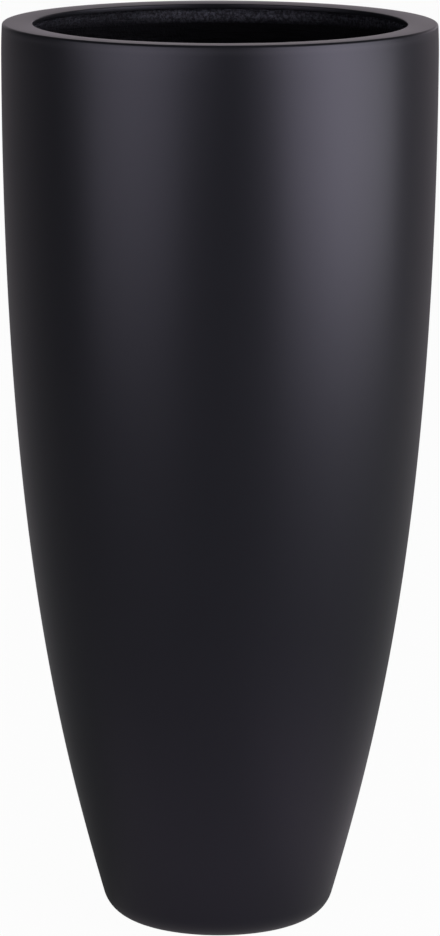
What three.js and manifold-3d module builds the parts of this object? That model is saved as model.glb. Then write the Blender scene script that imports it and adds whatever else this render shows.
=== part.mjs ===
// Tall round fiberglass planter: a tapering vase with a flat inward rim, a removable
// planting shelf on four bonded brackets, a plugged drain and four rubber foot pads.
// Millimetres, +Z up. The origin is on the ground, at the middle of the foot.

import * as THREE from 'three';
import Module from 'manifold-3d';
import { mergeVertices } from 'three/addons/utils/BufferGeometryUtils.js';

// ---- Driving dimensions ----

// outer shell
const shellHeight = 900;      // from the ground ring of the foot to the top of the rim
const bellyRadius = 213.7;
const bellyDrop = 32;         // the widest place lies this far under the rim
const rimLean = 0.9;          // how far the wall leans in again from the belly to the rim
const bellyPull = 462;        // how far the belly's vertical run is felt down the wall
const footRounding = 32;
const footPull = 170;         // how far the foot's straight flare is felt up the wall
const flareAngle = THREE.MathUtils.degToRad(15.7);
const groundRingRadius = 84.5;
const wallThickness = 4;
const floorThickness = 6;
const recessHeight = 10;      // the underside is raised, so that the drain nut clears the ground
const recessRadius = 62;
const recessDraft = 4;        // the recess narrows by this much towards its top

// rim flange
const flangeWidth = 29.6;
const flangeThickness = 6;
const outerEdgeRounding = 2.5;
const mouthEdgeRounding = 1;

// planting shelf and the brackets under it
const shelfSeatHeight = 380;  // from the ground ring to the underside of the shelf
const shelfThickness = 12;
const shelfPassGap = 3.7;     // all round, where the shelf is lifted out through the mouth
const shelfWallGap = 3;       // all round, where the shelf rests
const fingerHoleRadius = 18;
const fingerHoleMargin = 87.5;   // from the hole's middle to the shelf's edge
const drainageHoleRadius = 5;
const outerDrainageHoles = 12;
const outerDrainageMargin = 39.5;
const innerDrainageHoles = 6;
const innerDrainageRadius = 45;
const bracketCount = 4;
const bracketWidth = 50;
const bracketHeight = 42;
const bracketNose = 8;        // height of the bracket's inner end
const bracketBearing = 18;    // how far the shelf's edge lies on the bracket

// drain
const drainBoreRadius = 12;
const bushWall = 3.5;
const bushFlangeRadius = 24;
const bushFlangeThickness = 3;
const bushProud = 1;          // the bush's end stands this far past its nut
const gasketThickness = 2;
const gasketMargin = 1;       // the gasket is this much smaller than the bush's flange
const nutThickness = 6;
const nutAcrossFlats = 44;
const plugHeadRadius = 17;
const plugHeadThickness = 5;
const plugStemLength = 14;
const plugStemTaper = 1;
const plugKnobRadius = 9;
const plugNeckRadius = 6;
const plugNeckHeight = 5.5;
const plugKnobFlare = 2.2;    // height over which the neck widens to the knob
const plugKnobThickness = 3.3;

// foot pads
const padCount = 4;
const padRadius = 8;
const padThickness = 1.5;
const padEdgeRounding = 0.6;

// clearances between separate pieces
const runningGap = 0.3;
const glueGap = 0.3;

// facets
const wallFacets = 64;
const smallFacets = 24;
const drainageFacets = 12;
const footSteps = 7;
const flankSteps = 16;
const shoulderSteps = 3;
const edgeSteps = 4;

// ---- Radii and heights over the ground ----

const rimRadius = bellyRadius - rimLean;
const mouthRadius = rimRadius - flangeWidth;
const ringZ = padThickness;
const topZ = ringZ + shellHeight;
const flangeZ = topZ - flangeThickness;
const recessZ = ringZ + recessHeight;
const floorZ = recessZ + floorThickness;
const shelfZ = ringZ + shelfSeatHeight;
const bellyZ = topZ - bellyDrop;

// ---- The wall's outline, from the ground ring up to the rim ----

const footCentre = new THREE.Vector2(groundRingRadius, ringZ + footRounding);
const flare = new THREE.Vector2(Math.sin(flareAngle), Math.cos(flareAngle));
const flareStart = new THREE.Vector2(
	footCentre.x + footRounding * Math.cos(flareAngle),
	footCentre.y - footRounding * Math.sin(flareAngle),
);
const foot = new THREE.EllipseCurve(
	footCentre.x, footCentre.y, footRounding, footRounding, -Math.PI / 2, -flareAngle,
);
const flank = new THREE.CubicBezierCurve(
	flareStart,
	flareStart.clone().addScaledVector(flare, footPull),
	new THREE.Vector2(bellyRadius, bellyZ - bellyPull),
	new THREE.Vector2(bellyRadius, bellyZ),
);
const shoulder = new THREE.QuadraticBezierCurve(
	new THREE.Vector2(bellyRadius, bellyZ),
	new THREE.Vector2(bellyRadius, (bellyZ + topZ) / 2),
	new THREE.Vector2(rimRadius, topZ),
);
const outline = [
	{ curve: foot, steps: footSteps },
	{ curve: flank, steps: flankSteps },
	{ curve: shoulder, steps: shoulderSteps },
];

// a point of the outline, moved square to it towards the inside
function insetPoint(curve, t, inset) {
	const along = curve.getTangent(t);
	return curve.getPoint(t).add(new THREE.Vector2(-along.y, along.x).multiplyScalar(inset));
}

// the same on the whole outline, where t runs from 0 to the number of curves
function outlinePoint(t, inset) {
	const index = Math.min(Math.floor(t), outline.length - 1);
	return insetPoint(outline[index].curve, t - index, inset);
}

// where the outline, moved inwards by inset, reaches a height
function sidePoint(height, inset) {
	const halvings = 40;
	let low = 0;
	let high = outline.length;
	for (let i = 0; i < halvings; i++) {
		const middle = (low + high) / 2;
		if (outlinePoint(middle, inset).y < height) {
			low = middle;
		} else {
			high = middle;
		}
	}
	return new THREE.Vector2(outlinePoint(low, inset).x, height);
}

// the outline between two heights, moved inwards by inset, from the bottom up
function sidePoints(inset, low, high) {
	const leastStep = 1;
	const points = [sidePoint(low, inset)];
	for (const { curve, steps } of outline) {
		for (let i = 1; i <= steps; i++) {
			const point = insetPoint(curve, i / steps, inset);
			if (point.y > low + leastStep && point.y < high - leastStep) {
				points.push(point);
			}
		}
	}
	points.push(sidePoint(high, inset));
	return points;
}

// ---- Shapes ----

function point(radius, height) {
	return new THREE.Vector2(radius, height);
}

// a quarter turn or any other part of a circle, in the plane of a turned profile
function arcPoints(centreRadius, centreHeight, radius, from, to) {
	const points = [];
	for (let i = 0; i <= edgeSteps; i++) {
		const angle = from + (to - from) * i / edgeSteps;
		points.push(point(centreRadius + radius * Math.cos(angle), centreHeight + radius * Math.sin(angle)));
	}
	return points;
}

// turns a profile of (radius, height) about the upright axis
function turned(profile, facets) {
	return new THREE.LatheGeometry(profile, facets).rotateX(Math.PI / 2);
}

function turnedRing(profile, facets) {
	return turned([...profile, profile[0]], facets);
}

function circlePath(x, y, radius, facets) {
	const points = [];
	for (let i = 0; i < facets; i++) {
		const angle = 2 * Math.PI * i / facets;
		points.push(new THREE.Vector2(x + radius * Math.cos(angle), y + radius * Math.sin(angle)));
	}
	return points;
}

function plate(outer, holes, thickness) {
	const shape = new THREE.Shape(outer);
	for (const hole of holes) {
		shape.holes.push(new THREE.Path(hole));
	}
	return new THREE.ExtrudeGeometry(shape, { depth: thickness, bevelEnabled: false });
}

// ---- Cutting ----

const wasm = await Module();
wasm.setup();

function toSolid(geometry) {
	const merged = geometry.clone();
	merged.deleteAttribute('normal');
	merged.deleteAttribute('uv');
	const welded = mergeVertices(merged);
	const corners = welded.index.array;
	const triangles = [];
	for (let i = 0; i < corners.length; i += 3) {
		const [a, b, c] = corners.slice(i, i + 3);
		if (a !== b && b !== c && c !== a) {
			triangles.push(a, b, c);
		}
	}
	return new wasm.Manifold(new wasm.Mesh({
		numProp: 3,
		vertProperties: new Float32Array(welded.attributes.position.array),
		triVerts: new Uint32Array(triangles),
	}));
}

function toGeometry(solid) {
	const mesh = solid.getMesh();
	const geometry = new THREE.BufferGeometry();
	geometry.setAttribute('position', new THREE.BufferAttribute(mesh.vertProperties, 3));
	geometry.setIndex(new THREE.BufferAttribute(mesh.triVerts, 1));
	geometry.computeVertexNormals();
	return geometry;
}

// ---- Materials ----

function material(color, roughness) {
	return new THREE.MeshStandardMaterial({ color, roughness, metalness: 0 });
}

const planter = new THREE.Group();

function addPiece(name, geometry, finish) {
	const mesh = new THREE.Mesh(geometry, finish);
	mesh.name = name;
	planter.add(mesh);
	return mesh;
}

// ---- Outer shell ----

const drainHoleRadius = drainBoreRadius + bushWall + runningGap;

function shellGeometry() {
	return turnedRing([
		...sidePoints(0, ringZ, flangeZ),
		...sidePoints(wallThickness, floorZ, flangeZ).reverse(),
		point(drainHoleRadius, floorZ),
		point(drainHoleRadius, recessZ),
		point(recessRadius - recessDraft, recessZ),
		point(recessRadius, ringZ),
	], wallFacets);
}

addPiece('outer_shell', shellGeometry(), material('#28282d', 0.42));

// ---- Rim flange ----

function flangeGeometry() {
	const outerEdgeZ = topZ - outerEdgeRounding;
	const outerEdge = sidePoint(outerEdgeZ, 0);
	const mouthEdge = mouthRadius + mouthEdgeRounding;
	return turnedRing([
		sidePoint(flangeZ, 0),
		...arcPoints(outerEdge.x - outerEdgeRounding, outerEdgeZ, outerEdgeRounding, 0, Math.PI / 2),
		...arcPoints(mouthEdge, topZ - mouthEdgeRounding, mouthEdgeRounding, Math.PI / 2, Math.PI),
		...arcPoints(mouthEdge, flangeZ + mouthEdgeRounding, mouthEdgeRounding, Math.PI, 1.5 * Math.PI),
	], wallFacets);
}

addPiece('rim_flange', flangeGeometry(), material('#28282d', 0.42));

// ---- Planting shelf: lies on the brackets and lifts out through the mouth ----

const shelfRadius = Math.min(
	mouthRadius - shelfPassGap,
	sidePoint(shelfZ, wallThickness).x - shelfWallGap,
);

function drainageRing(count, radius) {
	const holes = [];
	for (let i = 0; i < count; i++) {
		const angle = 2 * Math.PI * (i + 0.5) / count;
		const x = radius * Math.cos(angle);
		const y = radius * Math.sin(angle);
		holes.push(circlePath(x, y, drainageHoleRadius, drainageFacets));
	}
	return holes;
}

function shelfGeometry() {
	const fingerHoleOffset = shelfRadius - fingerHoleMargin;
	const holes = [
		circlePath(0, 0, drainageHoleRadius, smallFacets),
		circlePath(-fingerHoleOffset, 0, fingerHoleRadius, smallFacets),
		circlePath(fingerHoleOffset, 0, fingerHoleRadius, smallFacets),
		...drainageRing(innerDrainageHoles, innerDrainageRadius),
		...drainageRing(outerDrainageHoles, shelfRadius - outerDrainageMargin),
	];
	return plate(circlePath(0, 0, shelfRadius, wallFacets), holes, shelfThickness);
}

addPiece('planting_shelf', shelfGeometry(), material('#1c1d1f', 0.7)).position.z = shelfZ;

// ---- Shelf brackets: gussets bonded to the wall, cut to its curve ----

function bracketGeometry() {
	const noseRadius = shelfRadius - bracketBearing;
	const wallRadius = sidePoint(shelfZ, 0).x;
	const side = new THREE.Shape([
		point(noseRadius, shelfZ),
		point(noseRadius, shelfZ - bracketNose),
		point(wallRadius, shelfZ - bracketHeight),
		point(wallRadius, shelfZ),
	]);
	const gusset = new THREE.ExtrudeGeometry(side, { depth: bracketWidth, bevelEnabled: false });
	gusset.rotateX(Math.PI / 2).translate(0, bracketWidth / 2, 0);
	const cavity = turned([
		point(0, floorZ),
		...sidePoints(wallThickness + glueGap, floorZ, flangeZ),
		point(0, flangeZ),
	], wallFacets);
	return toGeometry(toSolid(gusset).intersect(toSolid(cavity)));
}

const bracket = bracketGeometry();
for (let i = 0; i < bracketCount; i++) {
	const piece = addPiece(`shelf_bracket_${i + 1}`, bracket, material('#1f1f22', 0.8));
	piece.rotation.z = 2 * Math.PI * (i + 0.5) / bracketCount;
}

// ---- Drain: gasket and bush from above, nut from below, plug in the bush ----

const bushRadius = drainBoreRadius + bushWall;
const gasketZ = floorZ + gasketThickness;
const bushTopZ = gasketZ + bushFlangeThickness;
const nutZ = recessZ - nutThickness;

function gasketGeometry() {
	const outer = bushFlangeRadius - gasketMargin;
	return turnedRing([
		point(outer, floorZ),
		point(outer, gasketZ),
		point(drainHoleRadius, gasketZ),
		point(drainHoleRadius, floorZ),
	], smallFacets);
}

function bushGeometry() {
	const endZ = nutZ - bushProud;
	return turnedRing([
		point(bushRadius, endZ),
		point(bushRadius, gasketZ),
		point(bushFlangeRadius, gasketZ),
		point(bushFlangeRadius, bushTopZ),
		point(drainBoreRadius, bushTopZ),
		point(drainBoreRadius, endZ),
	], smallFacets);
}

function nutGeometry() {
	const sides = 6;
	const cornerRadius = nutAcrossFlats / 2 / Math.cos(Math.PI / sides);
	const bore = circlePath(0, 0, bushRadius + runningGap, smallFacets);
	return plate(circlePath(0, 0, cornerRadius, sides), [bore], nutThickness);
}

function plugGeometry() {
	const headZ = bushTopZ + plugHeadThickness;
	const neckZ = headZ + plugNeckHeight;
	const knobZ = neckZ + plugKnobFlare;
	const stemRadius = drainBoreRadius - runningGap;
	return turned([
		point(0, bushTopZ - plugStemLength),
		point(stemRadius - plugStemTaper, bushTopZ - plugStemLength),
		point(stemRadius, bushTopZ),
		point(plugHeadRadius, bushTopZ),
		point(plugHeadRadius, headZ),
		point(plugNeckRadius, headZ),
		point(plugNeckRadius, neckZ),
		point(plugKnobRadius, knobZ),
		point(plugKnobRadius, knobZ + plugKnobThickness),
		point(0, knobZ + plugKnobThickness),
	], smallFacets);
}

addPiece('drain_gasket', gasketGeometry(), material('#151515', 0.85));
addPiece('drain_bush', bushGeometry(), material('#3a3b3d', 0.5));
addPiece('drain_locknut', nutGeometry(), material('#3a3b3d', 0.5)).position.z = nutZ;
addPiece('drain_plug', plugGeometry(), material('#151515', 0.8));

// ---- Foot pads: stuck under the ground ring ----

function padGeometry() {
	return turned([
		point(0, 0),
		...arcPoints(padRadius - padEdgeRounding, padEdgeRounding, padEdgeRounding, -Math.PI / 2, 0),
		point(padRadius, padThickness),
		point(0, padThickness),
	], smallFacets);
}

const padRing = (recessRadius + groundRingRadius) / 2;
for (let i = 0; i < padCount; i++) {
	const angle = 2 * Math.PI * (i + 0.5) / padCount;
	const pad = addPiece(`foot_pad_${i + 1}`, padGeometry(), material('#131313', 0.8));
	pad.position.set(padRing * Math.cos(angle), padRing * Math.sin(angle), 0);
}

export default planter;
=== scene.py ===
# Tall round fiberglass planter in satin anthracite lacquer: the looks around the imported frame.

import math

import bmesh
import bpy
from mathutils import Matrix, Vector

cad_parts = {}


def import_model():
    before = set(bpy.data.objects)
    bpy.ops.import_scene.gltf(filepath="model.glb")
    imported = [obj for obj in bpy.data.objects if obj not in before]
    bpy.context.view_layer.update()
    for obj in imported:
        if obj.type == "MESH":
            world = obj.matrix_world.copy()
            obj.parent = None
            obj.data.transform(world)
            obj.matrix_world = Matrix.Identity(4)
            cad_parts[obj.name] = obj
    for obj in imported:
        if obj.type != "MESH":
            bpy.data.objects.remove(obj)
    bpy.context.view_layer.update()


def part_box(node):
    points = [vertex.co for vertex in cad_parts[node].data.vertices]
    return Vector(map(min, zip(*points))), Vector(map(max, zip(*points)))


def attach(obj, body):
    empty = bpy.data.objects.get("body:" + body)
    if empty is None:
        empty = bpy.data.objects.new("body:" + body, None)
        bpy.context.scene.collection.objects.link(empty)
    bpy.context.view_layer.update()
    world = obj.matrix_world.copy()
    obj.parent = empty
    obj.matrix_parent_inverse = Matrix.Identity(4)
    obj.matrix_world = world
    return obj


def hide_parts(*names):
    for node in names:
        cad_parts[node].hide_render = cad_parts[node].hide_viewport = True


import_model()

MM = 0.001

# ---- Sizes in millimetres, the same as the part's own ----

GROUND_RING_RADIUS = 84.5
FOOT_ROUNDING = 32
FLARE_ANGLE = math.radians(15.7)
FOOT_PULL = 170
BELLY_PULL = 462
BELLY_RADIUS = 213.7
BELLY_HEIGHT = 868
RIM_RADIUS = 212.8
WALL_THICKNESS = 4
RECESS_RADIUS = 62
RECESS_DRAFT = 4
MOUTH_RADIUS = 183.2
OUTER_EDGE_ROUNDING = 2.5
MOUTH_EDGE_ROUNDING = 1
RIM_FALL = 0.75            # the sprayed rim lies this much lower at the mouth than at its outer edge
DRAIN_BORE_RADIUS = 12
BUSH_RADIUS = 15.5
DRAIN_HOLE_RADIUS = 15.8
DRAINAGE_HOLE_RADIUS = 5
OUTER_DRAINAGE_HOLES = 12
OUTER_DRAINAGE_MARGIN = 39.5
INNER_DRAINAGE_HOLES = 6
INNER_DRAINAGE_RADIUS = 45
FINGER_HOLE_RADIUS = 18
FINGER_HOLE_MARGIN = 87.5
BRACKET_COUNT = 4
BRACKET_WIDTH = 50
BRACKET_HEIGHT = 42
BRACKET_NOSE = 8
BRACKET_BEARING = 18
GLUE_GAP = 0.3
PAD_COUNT = 4

# heights over the ground, read from the frame
RING_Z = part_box("outer_shell")[0].z / MM
FLANGE_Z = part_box("rim_flange")[0].z / MM
TOP_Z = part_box("rim_flange")[1].z / MM
SHELF_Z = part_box("planting_shelf")[0].z / MM
SHELF_TOP_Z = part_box("planting_shelf")[1].z / MM
SHELF_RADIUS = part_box("planting_shelf")[1].x / MM
FLOOR_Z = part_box("drain_gasket")[0].z / MM
RECESS_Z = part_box("drain_locknut")[1].z / MM
BELLY_Z = RING_Z + BELLY_HEIGHT
BUSH_TOP_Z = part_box("drain_bush")[1].z / MM
BUSH_END_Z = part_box("drain_bush")[0].z / MM
BUSH_FLANGE_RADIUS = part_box("drain_bush")[1].x / MM
BUSH_FLANGE_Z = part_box("drain_gasket")[1].z / MM
GASKET_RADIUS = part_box("drain_gasket")[1].x / MM

FINGER_HOLE_OFFSET = SHELF_RADIUS - FINGER_HOLE_MARGIN
DRAINAGE_RINGS = [
    (INNER_DRAINAGE_HOLES, INNER_DRAINAGE_RADIUS),
    (OUTER_DRAINAGE_HOLES, SHELF_RADIUS - OUTER_DRAINAGE_MARGIN),
]

# facets round a turned solid
WALL_SEGMENTS = 256
FITTING_SEGMENTS = 64
PAD_SEGMENTS = 48
DRAINAGE_SEGMENTS = 32

CAP_RADIUS = 20            # of the flat disc that closes a wide turned solid


# ---- The wall's outline ----

def bezier(points, t):
    """A point of the Bezier curve with these control points, and the direction along it."""
    level = [Vector(p) for p in points]
    while len(level) > 2:
        level = [a.lerp(b, t) for a, b in zip(level, level[1:])]
    return level[0].lerp(level[1], t), (level[1] - level[0]).normalized()


def foot_curve(t):
    angle = -math.pi / 2 + (math.pi / 2 - FLARE_ANGLE) * t
    outward = Vector((math.cos(angle), math.sin(angle)))
    centre = Vector((GROUND_RING_RADIUS, RING_Z + FOOT_ROUNDING))
    return centre + outward * FOOT_ROUNDING, Vector((-outward.y, outward.x))


def flank_curve(t):
    start, along = foot_curve(1)
    pulled = start + along * FOOT_PULL
    return bezier([start, pulled, (BELLY_RADIUS, BELLY_Z - BELLY_PULL), (BELLY_RADIUS, BELLY_Z)], t)


def shoulder_curve(t):
    halfway = (BELLY_Z + TOP_Z) / 2
    return bezier([(BELLY_RADIUS, BELLY_Z), (BELLY_RADIUS, halfway), (RIM_RADIUS, TOP_Z)], t)


OUTLINE = [(foot_curve, 14), (flank_curve, 56), (shoulder_curve, 6)]


def inset_point(curve, t, inset):
    """A point of the outline, moved square to it towards the inside."""
    place, along = curve(t)
    return place + Vector((-along.y, along.x)) * inset


def side_point(height, inset):
    """Where the outline, moved inwards by inset, reaches a height."""
    low, high = 0.0, float(len(OUTLINE))
    for _ in range(40):
        middle = (low + high) / 2
        index = min(int(middle), len(OUTLINE) - 1)
        if inset_point(OUTLINE[index][0], middle - index, inset).y < height:
            low = middle
        else:
            high = middle
    return Vector((inset_point(OUTLINE[index][0], low - index, inset).x, height))


def side_points(inset, low, high):
    """The outline between two heights, moved inwards by inset, from the bottom up."""
    least_step = 0.8
    points = [side_point(low, inset)]
    for curve, steps in OUTLINE:
        for i in range(1, steps + 1):
            place = inset_point(curve, i / steps, inset)
            if low + least_step < place.y < high - least_step:
                points.append(place)
    return points + [side_point(high, inset)]


def rounded(corners, steps=4):
    """A profile whose corners (radius, height, rounding) are rounded off as arcs."""
    points = []
    count = len(corners)
    for i, (x, y, rounding) in enumerate(corners):
        here = Vector((x, y))
        if rounding == 0:
            points.append(here)
            continue
        back = (Vector(corners[i - 1][:2]) - here).normalized()
        ahead = (Vector(corners[(i + 1) % count][:2]) - here).normalized()
        half = back.angle(ahead) / 2
        middle = here + (back + ahead).normalized() * (rounding / math.sin(half))
        first = here + back * (rounding / math.tan(half)) - middle
        last = here + ahead * (rounding / math.tan(half)) - middle
        turn = first.angle_signed(last)
        for step in range(steps + 1):
            spoke = first.copy()
            spoke.rotate(Matrix.Rotation(-turn * step / steps, 2))
            points.append(middle + spoke)
    return points


# ---- Modelling ----

def start_fresh():
    bpy.ops.object.select_all(action="DESELECT")


def select_faces(piece, wanted):
    """In edit mode: selects the faces whose centre and normal answer wanted."""
    bpy.ops.mesh.select_mode(type="FACE")
    bpy.ops.mesh.select_all(action="DESELECT")
    shape = bmesh.from_edit_mesh(piece.data)
    for face in shape.faces:
        face.select_set(wanted(face.calc_center_median() / MM, face.normal))
    bmesh.update_edit_mesh(piece.data)


def select_edges(piece, wanted):
    """In edit mode: selects the edges whose two ends, in millimetres, answer wanted."""
    bpy.ops.mesh.select_mode(type="EDGE")
    bpy.ops.mesh.select_all(action="DESELECT")
    shape = bmesh.from_edit_mesh(piece.data)
    for edge in shape.edges:
        edge.select_set(wanted(edge.verts[0].co / MM, edge.verts[1].co / MM))
    bmesh.update_edit_mesh(piece.data)


def turned(name, profile, segments, capped=False):
    """A circle drawn out along a profile of (radius, height) points, as on a potter's wheel.
    A capped one starts and ends as a flat disc, and any other joins its end to its start."""
    start_fresh()
    radius, height = profile[0]
    bpy.ops.mesh.primitive_circle_add(
        vertices=segments, radius=radius * MM, fill_type="NGON" if capped else "NOTHING")
    piece = bpy.context.object
    piece.name = name
    bpy.ops.object.mode_set(mode="EDIT")
    bpy.ops.mesh.select_all(action="SELECT")
    bpy.ops.transform.translate(value=(0, 0, height * MM))
    if capped:
        bpy.ops.mesh.select_mode(type="EDGE")
    for next_radius, next_height in profile[1:]:
        bpy.ops.mesh.extrude_edges_move(
            TRANSFORM_OT_translate={"value": (0, 0, (next_height - height) * MM)})
        scale = next_radius / radius
        bpy.ops.transform.resize(
            value=(scale, scale, 1), center_override=(0, 0, next_height * MM))
        radius, height = next_radius, next_height
    if capped:
        bpy.ops.mesh.edge_face_add()
    else:
        first = profile[0]

        def on_ring(point, ring):
            near = 0.01
            return abs(point.xy.length - ring[0]) < near and abs(point.z - ring[1]) < near

        def at_an_end(a, b):
            return any(on_ring(a, ring) and on_ring(b, ring) for ring in (first, (radius, height)))

        select_edges(piece, at_an_end)
        bpy.ops.mesh.bridge_edge_loops()
    bpy.ops.mesh.select_all(action="SELECT")
    bpy.ops.mesh.normals_make_consistent(inside=False)
    bpy.ops.object.mode_set(mode="OBJECT")
    return piece


def smooth(piece, degrees=35):
    start_fresh()
    piece.select_set(True)
    bpy.context.view_layer.objects.active = piece
    bpy.ops.object.shade_smooth_by_angle(angle=math.radians(degrees))


def apply_modifier(piece, kind, **settings):
    start_fresh()
    piece.select_set(True)
    bpy.context.view_layer.objects.active = piece
    modifier = piece.modifiers.new(kind, kind)
    for name, value in settings.items():
        setattr(modifier, name, value)
    bpy.ops.object.modifier_apply(modifier=modifier.name)


def cut(piece, cutter, operation="DIFFERENCE"):
    apply_modifier(piece, "BOOLEAN", object=cutter, operation=operation, solver="EXACT")
    bpy.data.objects.remove(cutter)


def place_mesh(piece, x=0, y=0, turn=0):
    """Moves and turns the mesh about the planter's axis, while its object stays at the origin."""
    start_fresh()
    piece.select_set(True)
    bpy.context.view_layer.objects.active = piece
    piece.location = (x * MM, y * MM, 0)
    piece.rotation_euler = (0, 0, turn)
    bpy.ops.object.transform_apply(location=True, rotation=True, scale=True)
    return piece


def copied(piece, name):
    twin = piece.copy()
    twin.data = piece.data.copy()
    twin.name = name
    bpy.context.scene.collection.objects.link(twin)
    return twin


def joined(pieces):
    start_fresh()
    for piece in pieces:
        piece.select_set(True)
    bpy.context.view_layer.objects.active = pieces[0]
    bpy.ops.object.join()
    return pieces[0]


def hole_cutter(name, radius, edge, low, high, segments):
    """A drill with flared ends: between two heights it leaves a hole with rounded edges."""
    steps = 4
    overshoot = 2
    flare = []
    for i in range(steps + 1):
        turn = math.pi / 2 * i / steps
        flare.append((radius + edge * (1 - math.cos(turn)), edge * (math.sin(turn) - 1)))
    profile = [(radius + edge, low - overshoot)]
    profile += [(r, low - z) for r, z in reversed(flare)]
    profile += [(r, high + z) for r, z in flare]
    profile.append((radius + edge, high + overshoot))
    return turned(name, profile, segments, capped=True)


def finish_piece(piece, finish, body, slot, *replaced):
    if finish:
        piece.data.materials.clear()
        piece.data.materials.append(finish)
    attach(piece, body)
    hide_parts(*replaced)


# ---- Colours and nodes ----

def linear(hex_colour):
    """An sRGB hex colour as Blender's linear colour."""
    channels = [int(hex_colour[i:i + 2], 16) / 255 for i in (1, 3, 5)]
    return tuple(c / 12.92 if c <= 0.04045 else ((c + 0.055) / 1.055) ** 2.4 for c in channels) + (1,)


def add_node(tree, kind, inputs=None, **settings):
    """Adds a node with its settings. Each input takes a value or another node's output."""
    node = tree.nodes.new(kind)
    for name, value in settings.items():
        setattr(node, name, value)
    for name, value in (inputs or {}).items():
        if isinstance(value, bpy.types.NodeSocket):
            tree.links.new(value, node.inputs[name])
        else:
            node.inputs[name].default_value = value
    return node


def new_material(name):
    material = bpy.data.materials.new(name)
    material.use_nodes = True
    material.node_tree.nodes.clear()
    return material, material.node_tree


def blend(tree, share, first, second):
    """Mixes two colours, given as hex or as a node's output, or two places."""
    mix = add_node(tree, "ShaderNodeMix", {"Factor": share}, data_type="RGBA")
    for socket, value in (("A_Color", first), ("B_Color", second)):
        target = next(i for i in mix.inputs if i.identifier == socket)
        if isinstance(value, bpy.types.NodeSocket):
            tree.links.new(value, target)
        else:
            target.default_value = linear(value)
    return next(o for o in mix.outputs if o.identifier == "Result_Color")


VIOLET_SHEEN = (0.84, 0.785, 1.0, 1.0)     # the black coats mirror light a little towards violet


def satin_lacquer():
    """Two-pack polyurethane lacquer sprayed on smooth gelcoat: near-black anthracite with a soft satin
    sheen, a faint orange peel and a slightly rubbed rim edge."""
    material, tree = new_material("satin anthracite lacquer")
    place = add_node(tree, "ShaderNodeTexCoord").outputs["Object"]
    peel_width = 3.5 * MM
    peel = add_node(tree, "ShaderNodeTexNoise", {
        "Vector": place, "Scale": 1 / peel_width, "Detail": 1.0})
    cloud_width = 180 * MM
    cloud = add_node(tree, "ShaderNodeTexNoise", {
        "Vector": place, "Scale": 1 / cloud_width, "Detail": 2.0})
    wear = add_node(tree, "ShaderNodeMapRange", {
        "Value": add_node(tree, "ShaderNodeNewGeometry").outputs["Pointiness"],
        "From Min": 0.53, "From Max": 0.62})
    sprayed = blend(tree, cloud.outputs["Fac"], "#131418", "#15161a")
    colour = blend(tree, wear.outputs["Result"], sprayed, "#26262a")
    sheen = add_node(tree, "ShaderNodeMapRange", {
        "Value": cloud.outputs["Fac"], "To Min": 0.31, "To Max": 0.35})
    bump = add_node(tree, "ShaderNodeBump", {
        "Height": peel.outputs["Fac"], "Distance": 0.02 * MM, "Strength": 0.6})
    shader = add_node(tree, "ShaderNodeBsdfPrincipled", {
        "Base Color": colour, "Roughness": sheen.outputs["Result"], "Normal": bump.outputs["Normal"],
        "IOR": 1.45, "Specular Tint": VIOLET_SHEEN})
    add_node(tree, "ShaderNodeOutputMaterial", {"Surface": shader.outputs["BSDF"]})
    return material


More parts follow.
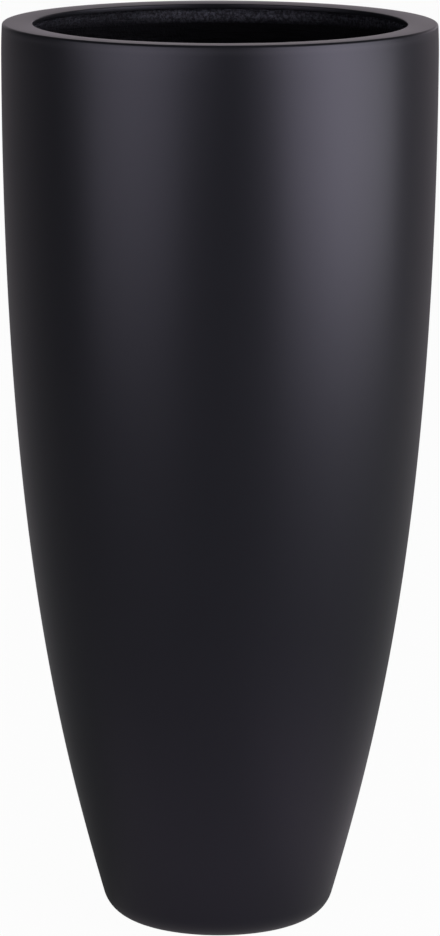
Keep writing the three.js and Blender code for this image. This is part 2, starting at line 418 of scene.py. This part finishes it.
def rough_laminate():
    """Hand-laid chopped-strand glass mat under a thin, dull coat of black. The lacquer sprayed on the
    rim drifts a finger's width down the inside as a glossy grit; the band's pale grains are painted
    glints and its lightness is painted light, strongest on the wall opposite the camera."""
    material, tree = new_material("black-coated chopped-strand laminate")
    place = add_node(tree, "ShaderNodeTexCoord").outputs["Object"]
    axes = add_node(tree, "ShaderNodeSeparateXYZ", {0: place})
    turn = add_node(tree, "ShaderNodeMath", {
        0: axes.outputs["X"], 1: axes.outputs["Y"]}, operation="ARCTAN2")
    mean_radius = 200 * MM
    around = add_node(tree, "ShaderNodeMath", {
        0: turn.outputs["Value"], 1: mean_radius}, operation="MULTIPLY")
    unrolled = add_node(tree, "ShaderNodeCombineXYZ", {
        "X": around.outputs["Value"], "Y": axes.outputs["Z"]})
    # the mat lies flat on the floor and follows the wall above it
    above_floor = add_node(tree, "ShaderNodeMath", {
        0: axes.outputs["Z"], 1: (FLOOR_Z + 1) * MM}, operation="GREATER_THAN")
    mat_place = blend(tree, above_floor.outputs["Value"], place, unrolled.outputs["Vector"])
    strand_length, strand_width = 28 * MM, 1.6 * MM
    mat = None
    for degrees in (8, 52, 97, 141):
        laid = add_node(tree, "ShaderNodeMapping", {
            "Vector": mat_place, "Rotation": (0, 0, math.radians(degrees)),
            "Location": (degrees, 0, 0), "Scale": (1 / strand_length, 1 / strand_width, 1)})
        strands = add_node(tree, "ShaderNodeTexNoise", {
            "Vector": laid.outputs["Vector"], "Scale": 1.0, "Detail": 0.0}, noise_dimensions="2D")
        raised = add_node(tree, "ShaderNodeMapRange", {
            "Value": strands.outputs["Fac"], "From Min": 0.52, "From Max": 0.68})
        if mat is None:
            mat = raised.outputs["Result"]
        else:
            mat = add_node(tree, "ShaderNodeMath", {
                0: mat, 1: raised.outputs["Result"]}, operation="MAXIMUM").outputs["Value"]
    grit_width = 3.0 * MM
    grit = add_node(tree, "ShaderNodeTexNoise", {
        "Vector": place, "Scale": 1 / grit_width, "Detail": 2.0, "Roughness": 0.65})
    # painted light: the inside is lit only in a band that ends 23 mm below the top, and most on the
    # wall opposite the camera
    lit_band_end, lit_band_start = TOP_Z - 23, TOP_Z - 14
    depth = add_node(tree, "ShaderNodeMapRange", {
        "Value": axes.outputs["Z"], "From Min": lit_band_end * MM, "From Max": lit_band_start * MM})
    opposite = add_node(tree, "ShaderNodeVectorMath", {
        0: place, 1: Vector((0.05, 1, 0)).normalized()}, operation="DOT_PRODUCT")
    painted_light_side = add_node(tree, "ShaderNodeMapRange", {
        "Value": opposite.outputs["Value"], "From Min": 183 * MM, "From Max": 209 * MM,
        "To Min": 0.27, "To Max": 1.0})
    share = add_node(tree, "ShaderNodeMath", {
        0: depth.outputs["Result"], 1: painted_light_side.outputs["Result"]}, operation="MULTIPLY").outputs["Value"]
    coat = blend(tree, mat, "#070709", "#121215")
    glint_grains = add_node(tree, "ShaderNodeMapRange", {
        "Value": grit.outputs["Fac"], "From Min": 0.42, "From Max": 0.66})
    # painted glints: the pale grains stand in for light caught by the grit
    sprayed = blend(tree, glint_grains.outputs["Result"], "#25252d", "#7f7f90")
    colour = blend(tree, share, coat, sprayed)
    gloss = add_node(tree, "ShaderNodeMapRange", {"Value": share, "To Min": 0.6, "To Max": 0.3})
    shine = add_node(tree, "ShaderNodeMapRange", {"Value": share, "To Min": 0.15, "To Max": 1.0})
    strand_relief = 0.25       # as a share of the grit's relief
    relief = add_node(tree, "ShaderNodeMath", {
        0: mat, 1: strand_relief, 2: grit.outputs["Fac"]}, operation="MULTIPLY_ADD")
    bump = add_node(tree, "ShaderNodeBump", {
        "Height": relief.outputs["Value"], "Distance": 1.6 * MM, "Strength": 1.0})
    shader = add_node(tree, "ShaderNodeBsdfPrincipled", {
        "Base Color": colour, "Roughness": gloss.outputs["Result"], "Normal": bump.outputs["Normal"],
        "Specular IOR Level": shine.outputs["Result"], "Specular Tint": VIOLET_SHEEN})
    add_node(tree, "ShaderNodeOutputMaterial", {"Surface": shader.outputs["BSDF"]})
    return material


def milled_board():
    """Recycled polyethylene board, milled: dull charcoal with pale flecks and a fine cutter swirl."""
    material, tree = new_material("recycled polyethylene board")
    place = add_node(tree, "ShaderNodeTexCoord").outputs["Object"]
    fleck_width = 4 * MM
    flecks = add_node(tree, "ShaderNodeTexVoronoi", {"Vector": place, "Scale": 1 / fleck_width})
    fleck = add_node(tree, "ShaderNodeMapRange", {
        "Value": flecks.outputs["Distance"], "From Min": 0.16, "From Max": 0.1})
    cutter_step = 3 * MM
    wave_length = 0.31         # of a wave texture whose scale is 1
    swirl = add_node(tree, "ShaderNodeTexWave", {
        "Vector": place, "Scale": wave_length / cutter_step, "Distortion": 0.5},
        wave_type="RINGS", rings_direction="Z")
    colour = blend(tree, fleck.outputs["Result"], "#1f2022", "#4a4b4c")
    bump = add_node(tree, "ShaderNodeBump", {
        "Height": swirl.outputs["Fac"], "Distance": 0.05 * MM, "Strength": 0.5})
    shader = add_node(tree, "ShaderNodeBsdfPrincipled", {
        "Base Color": colour, "Roughness": 0.62, "Normal": bump.outputs["Normal"]})
    add_node(tree, "ShaderNodeOutputMaterial", {"Surface": shader.outputs["BSDF"]})
    return material


def moulded_nylon():
    """Injection-moulded grey nylon with a fine spark-eroded grain."""
    material, tree = new_material("moulded grey nylon")
    place = add_node(tree, "ShaderNodeTexCoord").outputs["Object"]
    grain_width = 0.8 * MM
    grain = add_node(tree, "ShaderNodeTexNoise", {
        "Vector": place, "Scale": 1 / grain_width, "Detail": 2.0})
    colour = blend(tree, grain.outputs["Fac"], "#38393b", "#414245")
    bump = add_node(tree, "ShaderNodeBump", {
        "Height": grain.outputs["Fac"], "Distance": 0.03 * MM, "Strength": 0.7})
    shader = add_node(tree, "ShaderNodeBsdfPrincipled", {
        "Base Color": colour, "Roughness": 0.5, "Normal": bump.outputs["Normal"]})
    add_node(tree, "ShaderNodeOutputMaterial", {"Surface": shader.outputs["BSDF"]})
    return material


def moulded_rubber():
    """Black EPDM rubber from a mould: dull, with a dusty bloom."""
    material, tree = new_material("black EPDM rubber")
    place = add_node(tree, "ShaderNodeTexCoord").outputs["Object"]
    bloom_width = 6 * MM
    bloom = add_node(tree, "ShaderNodeTexNoise", {
        "Vector": place, "Scale": 1 / bloom_width, "Detail": 4.0})
    colour = blend(tree, bloom.outputs["Fac"], "#101010", "#1d1d1c")
    roughness = add_node(tree, "ShaderNodeMapRange", {
        "Value": bloom.outputs["Fac"], "To Min": 0.65, "To Max": 0.85})
    grain_width = 0.5 * MM
    grain = add_node(tree, "ShaderNodeTexNoise", {"Vector": place, "Scale": 1 / grain_width})
    bump = add_node(tree, "ShaderNodeBump", {
        "Height": grain.outputs["Fac"], "Distance": 0.02 * MM, "Strength": 0.6})
    shader = add_node(tree, "ShaderNodeBsdfPrincipled", {
        "Base Color": colour, "Roughness": roughness.outputs["Result"],
        "Normal": bump.outputs["Normal"]})
    add_node(tree, "ShaderNodeOutputMaterial", {"Surface": shader.outputs["BSDF"]})
    return material


LACQUER = satin_lacquer()
LAMINATE = rough_laminate()
BOARD = milled_board()
NYLON = moulded_nylon()
RUBBER = moulded_rubber()


def assign_inside(piece, inside):
    """The faces that answer inside take the bare laminate, and all others the lacquer."""
    piece.data.materials.append(LACQUER)
    piece.data.materials.append(LAMINATE)
    start_fresh()
    piece.select_set(True)
    bpy.context.view_layer.objects.active = piece
    bpy.ops.object.mode_set(mode="EDIT")
    select_faces(piece, inside)
    piece.active_material_index = 1
    bpy.ops.object.material_slot_assign()
    bpy.ops.object.mode_set(mode="OBJECT")


# ---- Moulded shell ----

def moulded_shell():
    outside = side_points(0, RING_Z, FLANGE_Z)
    inside = side_points(WALL_THICKNESS, FLOOR_Z, FLANGE_Z)
    inside.reverse()
    underside = rounded([
        (DRAIN_HOLE_RADIUS, FLOOR_Z, 0),
        (DRAIN_HOLE_RADIUS, RECESS_Z, 0),
        (RECESS_RADIUS - RECESS_DRAFT, RECESS_Z, 3),
        (RECESS_RADIUS, RING_Z, 2),
        (GROUND_RING_RADIUS, RING_Z, 0),
    ])
    profile = outside + inside + underside[:-1]
    shell = turned("moulded_shell", profile, WALL_SEGMENTS)

    def bare(centre, normal):
        outward = Vector((centre.x, centre.y, 0)).normalized()
        above_floor = centre.z > FLOOR_Z - 1
        return above_floor and (normal.dot(outward) < -0.1 or normal.z > 0.5)

    assign_inside(shell, bare)
    smooth(shell)
    finish_piece(shell, None, "planter", "painted_laminate", "outer_shell")


# ---- Moulded rim ----

def moulded_rim():
    low = side_point(FLANGE_Z, 0)
    high = side_point(TOP_Z, 0)
    profile = rounded([
        (low.x, low.y, 0),
        (high.x, high.y, OUTER_EDGE_ROUNDING),
        (MOUTH_RADIUS, TOP_Z - RIM_FALL, MOUTH_EDGE_ROUNDING),
        (MOUTH_RADIUS, FLANGE_Z, MOUTH_EDGE_ROUNDING),
    ], steps=6)
    rim = turned("moulded_rim", profile, WALL_SEGMENTS)

    def bare(centre, normal):
        return normal.z < -0.5

    assign_inside(rim, bare)
    smooth(rim, 50)
    finish_piece(rim, None, "planter", "painted_laminate", "rim_flange")


# ---- Milled planting shelf ----

def milled_shelf():
    edge, hole_edge, finger_edge = 2, 1, 3
    profile = rounded([
        (CAP_RADIUS, SHELF_Z, 0),
        (SHELF_RADIUS, SHELF_Z, edge),
        (SHELF_RADIUS, SHELF_TOP_Z, edge),
        (CAP_RADIUS, SHELF_TOP_Z, 0),
    ])
    shelf = turned("milled_shelf", profile, WALL_SEGMENTS, capped=True)

    def drill(radius, rounding, segments, x, y):
        cutter = hole_cutter("drill", radius, rounding, SHELF_Z, SHELF_TOP_Z, segments)
        return place_mesh(cutter, x, y)

    drills = [drill(DRAINAGE_HOLE_RADIUS, hole_edge, DRAINAGE_SEGMENTS, 0, 0)]
    for side in (-1, 1):
        x = side * FINGER_HOLE_OFFSET
        drills.append(drill(FINGER_HOLE_RADIUS, finger_edge, FITTING_SEGMENTS, x, 0))
    for count, ring_radius in DRAINAGE_RINGS:
        for i in range(count):
            angle = 2 * math.pi * (i + 0.5) / count
            x, y = ring_radius * math.cos(angle), ring_radius * math.sin(angle)
            drills.append(drill(DRAINAGE_HOLE_RADIUS, hole_edge, DRAINAGE_SEGMENTS, x, y))
    cut(shelf, joined(drills))
    smooth(shelf, 40)
    finish_piece(shelf, BOARD, "shelf", "shelf_board", "planting_shelf")


# ---- Hand-laid brackets ----

def wedge(name, inner, outer, half_width, low, nose_low, high):
    """A block between two distances from the axis. Its underside rises to nose_low at its inner end."""
    start_fresh()
    middle = Vector(((inner + outer) / 2, 0, (low + high) / 2))
    bpy.ops.mesh.primitive_cube_add(size=1, location=middle * MM)
    block = bpy.context.object
    block.name = name
    block.scale = Vector((outer - inner, 2 * half_width, high - low)) * MM
    bpy.ops.object.transform_apply(location=True, rotation=True, scale=True)
    bpy.ops.object.mode_set(mode="EDIT")
    near = 0.1
    select_edges(block, lambda a, b: all(p.x < inner + near and p.z < low + near for p in (a, b)))
    bpy.ops.transform.translate(value=(0, 0, (nose_low - low) * MM))
    bpy.ops.object.mode_set(mode="OBJECT")
    return block


def laid_up_brackets():
    nose = SHELF_RADIUS - BRACKET_BEARING
    wall = side_point(SHELF_Z, 0).x
    low = SHELF_Z - BRACKET_HEIGHT
    above = SHELF_Z + 6        # the room cuts it off level with the shelf's underside
    core = wedge("core", nose, wall, BRACKET_WIDTH / 2, low, SHELF_Z - BRACKET_NOSE, above)
    tape_overlap, tape_thickness, tape_rise = 9, 4, 2
    tape_face = side_point(SHELF_Z - BRACKET_HEIGHT / 2, WALL_THICKNESS).x - tape_thickness
    tape = wedge(
        "tape", tape_face, wall, BRACKET_WIDTH / 2 + tape_overlap, low + tape_rise, low + tape_rise,
        above)
    apply_modifier(core, "BOOLEAN", object=tape, operation="UNION", solver="EXACT")
    bpy.data.objects.remove(tape)
    grid, lump_width, lump_height = 1.5, 9, 1.2
    apply_modifier(core, "REMESH", mode="VOXEL", voxel_size=grid * MM)
    apply_modifier(core, "SMOOTH", factor=0.6, iterations=9)
    lumps = bpy.data.textures.new("resin lumps", "CLOUDS")
    lumps.noise_scale = lump_width * MM
    lumps.noise_depth = 2
    apply_modifier(core, "DISPLACE", texture=lumps, strength=lump_height * MM, mid_level=0.5)
    bpy.data.textures.remove(lumps)
    room = [(CAP_RADIUS, FLOOR_Z)]
    room += side_points(WALL_THICKNESS + GLUE_GAP, FLOOR_Z, SHELF_Z)
    room.append((CAP_RADIUS, SHELF_Z))
    cut(core, turned("room", room, WALL_SEGMENTS, capped=True), "INTERSECT")
    smooth(core, 40)
    for number in range(1, BRACKET_COUNT + 1):
        bracket = copied(core, f"laid_up_bracket_{number}")
        place_mesh(bracket, turn=2 * math.pi * (number - 0.5) / BRACKET_COUNT)
        finish_piece(bracket, LAMINATE, "planter", "bare_laminate", f"shelf_bracket_{number}")
    bpy.data.objects.remove(core)


# ---- Drain fittings ----

def moulded_gasket():
    bulge = 0.4
    profile = rounded([
        (DRAIN_HOLE_RADIUS, FLOOR_Z, 0.4),
        (GASKET_RADIUS, FLOOR_Z, 0.4),
        (GASKET_RADIUS + bulge, (FLOOR_Z + BUSH_FLANGE_Z) / 2, 0.8),
        (GASKET_RADIUS, BUSH_FLANGE_Z, 0.4),
        (DRAIN_HOLE_RADIUS, BUSH_FLANGE_Z, 0.4),
    ])
    gasket = turned("moulded_gasket", profile, FITTING_SEGMENTS)
    smooth(gasket, 60)
    finish_piece(gasket, RUBBER, "planter", "black_rubber", "drain_gasket")


def moulded_bush():
    thread_pitch, thread_depth = 2.0, 0.7
    crest_start, crest_end = 0.4, 0.6      # as shares of the pitch
    thread_start, thread_run_out = 0.8, 0.6
    root_radius = BUSH_RADIUS - thread_depth
    thread = []
    height = BUSH_END_Z + thread_start
    while height + thread_pitch < RECESS_Z:
        thread.append((root_radius, height, 0))
        thread.append((BUSH_RADIUS, height + thread_pitch * crest_start, 0))
        thread.append((BUSH_RADIUS, height + thread_pitch * crest_end, 0))
        height += thread_pitch
    profile = rounded([
        (DRAIN_BORE_RADIUS, BUSH_END_Z, 0.5),
        (root_radius, BUSH_END_Z, 0.3),
        *thread,
        (root_radius, height, 0),
        (BUSH_RADIUS, height + thread_run_out, 0),
        (BUSH_RADIUS, BUSH_FLANGE_Z, 0.2),
        (BUSH_FLANGE_RADIUS, BUSH_FLANGE_Z, 0.4),
        (BUSH_FLANGE_RADIUS, BUSH_TOP_Z, 1.2),
        (DRAIN_BORE_RADIUS, BUSH_TOP_Z, 0.8),
    ])
    bush = turned("moulded_bush", profile, FITTING_SEGMENTS)
    smooth(bush, 40)
    finish_piece(bush, NYLON, "planter", "nylon", "drain_bush")


def moulded_locknut():
    low, high = (corner.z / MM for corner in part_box("drain_locknut"))
    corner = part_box("drain_locknut")[1].x / MM
    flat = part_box("drain_locknut")[1].y / MM
    nut = turned("moulded_locknut", [(corner, low), (corner, high)], 6, capped=True)
    place_mesh(nut, turn=math.pi / 2)
    lead, inset, clear, bore_edge = 1.4, 0.4, 0.2, 0.7
    chamfer = turned("chamfer", [
        (flat - inset, low - clear), (corner + clear, low + lead),
        (corner + clear, high - lead), (flat - inset, high + clear)], FITTING_SEGMENTS, capped=True)
    cut(nut, chamfer, "INTERSECT")
    cut(nut, hole_cutter("bore", DRAIN_HOLE_RADIUS, bore_edge, low, high, FITTING_SEGMENTS))
    smooth(nut, 25)
    finish_piece(nut, NYLON, "planter", "nylon", "drain_locknut")


def moulded_plug():
    running_gap = 0.3
    stem, taper = DRAIN_BORE_RADIUS - running_gap, 1
    head_radius, neck_radius, knob_radius, cap_radius = 17, 6, 9, 2
    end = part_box("drain_plug")[0].z / MM
    head_top = BUSH_TOP_Z + 5
    knob_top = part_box("drain_plug")[1].z / MM
    knob_low = knob_top - 3.3
    neck_top = knob_low - 2.2
    ribs = []
    rib_count, rib_height, rib_half_width = 3, 0.22, 0.7
    for i in range(rib_count):
        share = (i + 1) / (rib_count + 1)
        height = end + (BUSH_TOP_Z - end) * share
        radius = stem - taper * (1 - share)
        ribs.append((radius, height - rib_half_width, 0))
        ribs.append((radius + rib_height, height, 0))
        ribs.append((radius, height + rib_half_width, 0))
    profile = rounded([
        (cap_radius, end, 0),
        (stem - taper, end, 1.2),
        *ribs,
        (stem, BUSH_TOP_Z, 0.3),
        (head_radius, BUSH_TOP_Z, 0.6),
        (head_radius, head_top, 1.8),
        (neck_radius, head_top, 1.2),
        (neck_radius, neck_top, 1.5),
        (knob_radius, knob_low, 0.8),
        (knob_radius, knob_top, 1.4),
        (cap_radius, knob_top, 0),
    ])
    plug = turned("moulded_plug", profile, FITTING_SEGMENTS, capped=True)
    smooth(plug, 50)
    finish_piece(plug, RUBBER, "plug", "black_rubber", "drain_plug")


# ---- Foot pads ----

def stuck_on_pads():
    pad_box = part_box("foot_pad_1")
    radius = (pad_box[1].x - pad_box[0].x) / MM / 2
    thickness = pad_box[1].z / MM
    dimple_radius, dimple_depth, cap_radius = 3, 0.5, 1
    profile = rounded([
        (cap_radius, dimple_depth, 0),
        (dimple_radius - 1, dimple_depth, 0.4),
        (dimple_radius, 0, 0.2),
        (radius, 0, 0.6),
        (radius, thickness, 0.2),
        (cap_radius, thickness, 0),
    ])
    pad = turned("pad", profile, PAD_SEGMENTS, capped=True)
    smooth(pad, 40)
    for number in range(1, PAD_COUNT + 1):
        low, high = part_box(f"foot_pad_{number}")
        place = (low + high) / 2 / MM
        twin = place_mesh(copied(pad, f"stuck_on_pad_{number}"), place.x, place.y)
        finish_piece(twin, RUBBER, "planter", "black_rubber", f"foot_pad_{number}")
    bpy.data.objects.remove(pad)


moulded_shell()
moulded_rim()
milled_shelf()
laid_up_brackets()
moulded_gasket()
moulded_bush()
moulded_locknut()
moulded_plug()
stuck_on_pads()


# ---- Studio ----

CAMERA_PLACE = Vector((1, -4622, 1384.5)) * MM
CAMERA_PITCH = 0.1979      # down from level, in radians
CAMERA_ROLL = 0.0025       # in radians
FOCAL_LENGTH = 182.4       # on a 36 mm sensor, which lies along the picture's height
SENSOR = 36


def camera():
    data = bpy.data.cameras.new("camera")
    data.sensor_width = SENSOR
    data.lens = FOCAL_LENGTH
    data.clip_end = 100
    seen_from = bpy.data.objects.new("camera", data)
    pitch = Matrix.Rotation(math.pi / 2 - CAMERA_PITCH, 4, "X")
    roll = Matrix.Rotation(CAMERA_ROLL, 4, "Z")
    seen_from.matrix_world = Matrix.Translation(CAMERA_PLACE) @ pitch @ roll
    bpy.context.scene.collection.objects.link(seen_from)
    bpy.context.scene.camera = seen_from


MIRRORED_COLOUR = "#fff3fd"    # of the floor and the end wall in reflections


def background_shares(tree, mirrored):
    """Two shares: how far a ray sees the white background directly, wholly for the camera and through
    glass, and how far it sees the pale surroundings in a reflection."""
    rays = add_node(tree, "ShaderNodeLightPath")
    direct = add_node(tree, "ShaderNodeMath", {
        0: rays.outputs["Is Camera Ray"], 1: rays.outputs["Is Transmission Ray"]}, operation="MAXIMUM")
    glossy = add_node(tree, "ShaderNodeMath", {
        0: rays.outputs["Is Glossy Ray"], 1: mirrored}, operation="MULTIPLY")
    return direct.outputs["Value"], glossy.outputs["Value"]


def floor():
    radius = 30
    white_share = 0.97         # the lit floor has the rest, and with it the planter's shadow
    start_fresh()
    bpy.ops.mesh.primitive_circle_add(vertices=96, radius=radius, fill_type="NGON")
    ground = bpy.context.object
    ground.name = "studio_floor"
    material, tree = new_material("pale studio floor")
    lit = add_node(tree, "ShaderNodeBsdfDiffuse", {"Color": linear("#e8e8e8")})
    painted_reflection_glow = add_node(tree, "ShaderNodeEmission", {"Color": linear(MIRRORED_COLOUR), "Strength": 1.0})
    white = add_node(tree, "ShaderNodeEmission", {"Color": (1, 1, 1, 1), "Strength": 1.0})
    place = add_node(tree, "ShaderNodeTexCoord").outputs["Object"]
    axes = add_node(tree, "ShaderNodeSeparateXYZ", {0: place})
    distance = add_node(tree, "ShaderNodeVectorMath", {0: place}, operation="LENGTH")
    # painted reflections: the floor glows pale only in reflections, so the planter's edges mirror the
    # floor behind it, the right one more of it far away, and its foot mirrors the floor close before it
    # and right of it
    behind = add_node(tree, "ShaderNodeMapRange", {
        "Value": axes.outputs["Y"], "From Min": 0.2, "From Max": 2.0, "To Min": 0.0, "To Max": 0.13})
    before = add_node(tree, "ShaderNodeMapRange", {
        "Value": axes.outputs["Y"], "From Min": 0.0, "From Max": -0.2})
    right = add_node(tree, "ShaderNodeMapRange", {
        "Value": axes.outputs["X"], "From Min": 0.1, "From Max": 0.25})
    far = add_node(tree, "ShaderNodeMapRange", {
        "Value": distance.outputs["Value"], "From Min": 2.2, "From Max": 4.5,
        "To Min": 0.0, "To Max": 0.07})
    far_behind = add_node(tree, "ShaderNodeMath", {
        0: right.outputs["Result"], 1: far.outputs["Result"], 2: behind.outputs["Result"]},
        operation="MULTIPLY_ADD")
    lit_side = add_node(tree, "ShaderNodeMath", {
        0: before.outputs["Result"], 1: right.outputs["Result"]}, operation="ADD")
    near_foot = add_node(tree, "ShaderNodeMapRange", {
        "Value": distance.outputs["Value"], "From Min": 0.1, "From Max": 0.8,
        "To Min": 0.36, "To Max": 0.0})
    mirrored = add_node(tree, "ShaderNodeMath", {
        0: lit_side.outputs["Value"], 1: near_foot.outputs["Result"], 2: far_behind.outputs["Value"]},
        operation="MULTIPLY_ADD")
    direct, glossy = background_shares(tree, mirrored.outputs["Value"])
    share = add_node(tree, "ShaderNodeMath", {0: direct, 1: white_share}, operation="MULTIPLY")
    carpet = add_node(tree, "ShaderNodeMixShader", {
        0: glossy, 1: lit.outputs["BSDF"], 2: painted_reflection_glow.outputs["Emission"]})
    mix = add_node(tree, "ShaderNodeMixShader", {
        0: share.outputs["Value"], 1: carpet.outputs["Shader"], 2: white.outputs["Emission"]})
    add_node(tree, "ShaderNodeOutputMaterial", {"Surface": mix.outputs["Shader"]})
    ground.data.materials.append(material)


def world():
    """A dim room with a pale end wall behind the planter, which the flat rim mirrors."""
    wall_share, room_level = 0.82, 0.07
    surroundings = bpy.data.worlds.new("studio")
    surroundings.use_nodes = True
    tree = surroundings.node_tree
    tree.nodes.clear()
    towards = add_node(tree, "ShaderNodeTexCoord").outputs["Generated"]
    facing = add_node(tree, "ShaderNodeVectorMath", {
        0: towards, 1: Vector((0.3, 1, 0)).normalized()}, operation="DOT_PRODUCT")
    height = add_node(tree, "ShaderNodeSeparateXYZ", {0: towards})
    across = add_node(tree, "ShaderNodeMapRange", {
        "Value": facing.outputs["Value"], "From Min": 0.6, "From Max": 1.0})
    below_top = add_node(tree, "ShaderNodeMapRange", {
        "Value": height.outputs["Z"], "From Min": 0.5, "From Max": 0.1})
    end_wall = add_node(tree, "ShaderNodeMath", {
        0: across.outputs["Result"], 1: below_top.outputs["Result"]}, operation="MULTIPLY")
    mirrored = add_node(tree, "ShaderNodeMath", {
        0: end_wall.outputs["Value"], 1: wall_share}, operation="MULTIPLY")
    fill = add_node(tree, "ShaderNodeBackground", {"Color": (1, 1, 1, 1), "Strength": room_level})
    painted = add_node(tree, "ShaderNodeBackground", {
        "Color": linear(MIRRORED_COLOUR), "Strength": 1.0})
    white = add_node(tree, "ShaderNodeBackground", {"Color": (1, 1, 1, 1), "Strength": 1.0})
    direct, glossy = background_shares(tree, mirrored.outputs["Value"])
    room = add_node(tree, "ShaderNodeMixShader", {
        0: glossy, 1: fill.outputs["Background"], 2: painted.outputs["Background"]})
    mix = add_node(tree, "ShaderNodeMixShader", {
        0: direct, 1: room.outputs["Shader"], 2: white.outputs["Background"]})
    add_node(tree, "ShaderNodeOutputWorld", {"Surface": mix.outputs["Shader"]})
    bpy.context.scene.world = surroundings


def softbox(name, azimuth, low, high, width, level):
    """An upright bank of softboxes three metres from the planter. Its honeycomb grid keeps the light
    off the floor and lets the bank fade towards its ends. Azimuth 0 is the camera's side, and it grows
    towards the camera's right. Level is its brightness straight ahead, as a share of white paper's."""
    distance = 3.0
    height = high - low
    half_spread = math.radians(48)
    focus = 1 - half_spread / math.tan(half_spread)     # the share of its power that such a lamp needs
    turn = math.radians(azimuth)
    data = bpy.data.lights.new(name, "AREA")
    data.shape = "RECTANGLE"
    data.size = width
    data.size_y = height
    data.energy = math.pi * width * height * level * focus
    data.spread = 2 * half_spread
    lamp = bpy.data.objects.new(name, data)
    lamp.location = (distance * math.sin(turn), -distance * math.cos(turn), (low + high) / 2)
    lamp.rotation_euler = (math.pi / 2, 0, turn)
    lamp.visible_camera = False
    bpy.context.scene.collection.objects.link(lamp)


def overhead_softbox(level):
    width, length = 2.4, 1.6
    data = bpy.data.lights.new("overhead_softbox", "AREA")
    data.shape = "RECTANGLE"
    data.size = width
    data.size_y = length
    data.energy = math.pi * width * length * level
    lamp = bpy.data.objects.new("overhead_softbox", data)
    lamp.location = (0.4, -1.2, 3.2)
    aim = Vector((0, 0, 0.6))
    away = Vector(lamp.location) - aim
    lamp.rotation_euler = away.to_track_quat("Z", "Y").to_euler()
    lamp.visible_camera = False
    bpy.context.scene.collection.objects.link(lamp)


camera()
floor()
world()
softbox("right_upper_bank", 60, 1.22, 1.8, 5.0, 5.2)
softbox("right_bank", 60, 0.62, 1.22, 6.6, 5.4)
softbox("right_low_bank", 67, 0.02, 0.6, 4.4, 5.9)
softbox("left_upper_bank", -43, 1.22, 1.8, 5.0, 1.4)
softbox("left_bank", -43, 0.62, 1.22, 5.4, 3.6)
softbox("left_low_bank", -45, 0.02, 0.6, 2.8, 2.1)
overhead_softbox(0.3)

bpy.context.scene.view_settings.view_transform = "Standard"
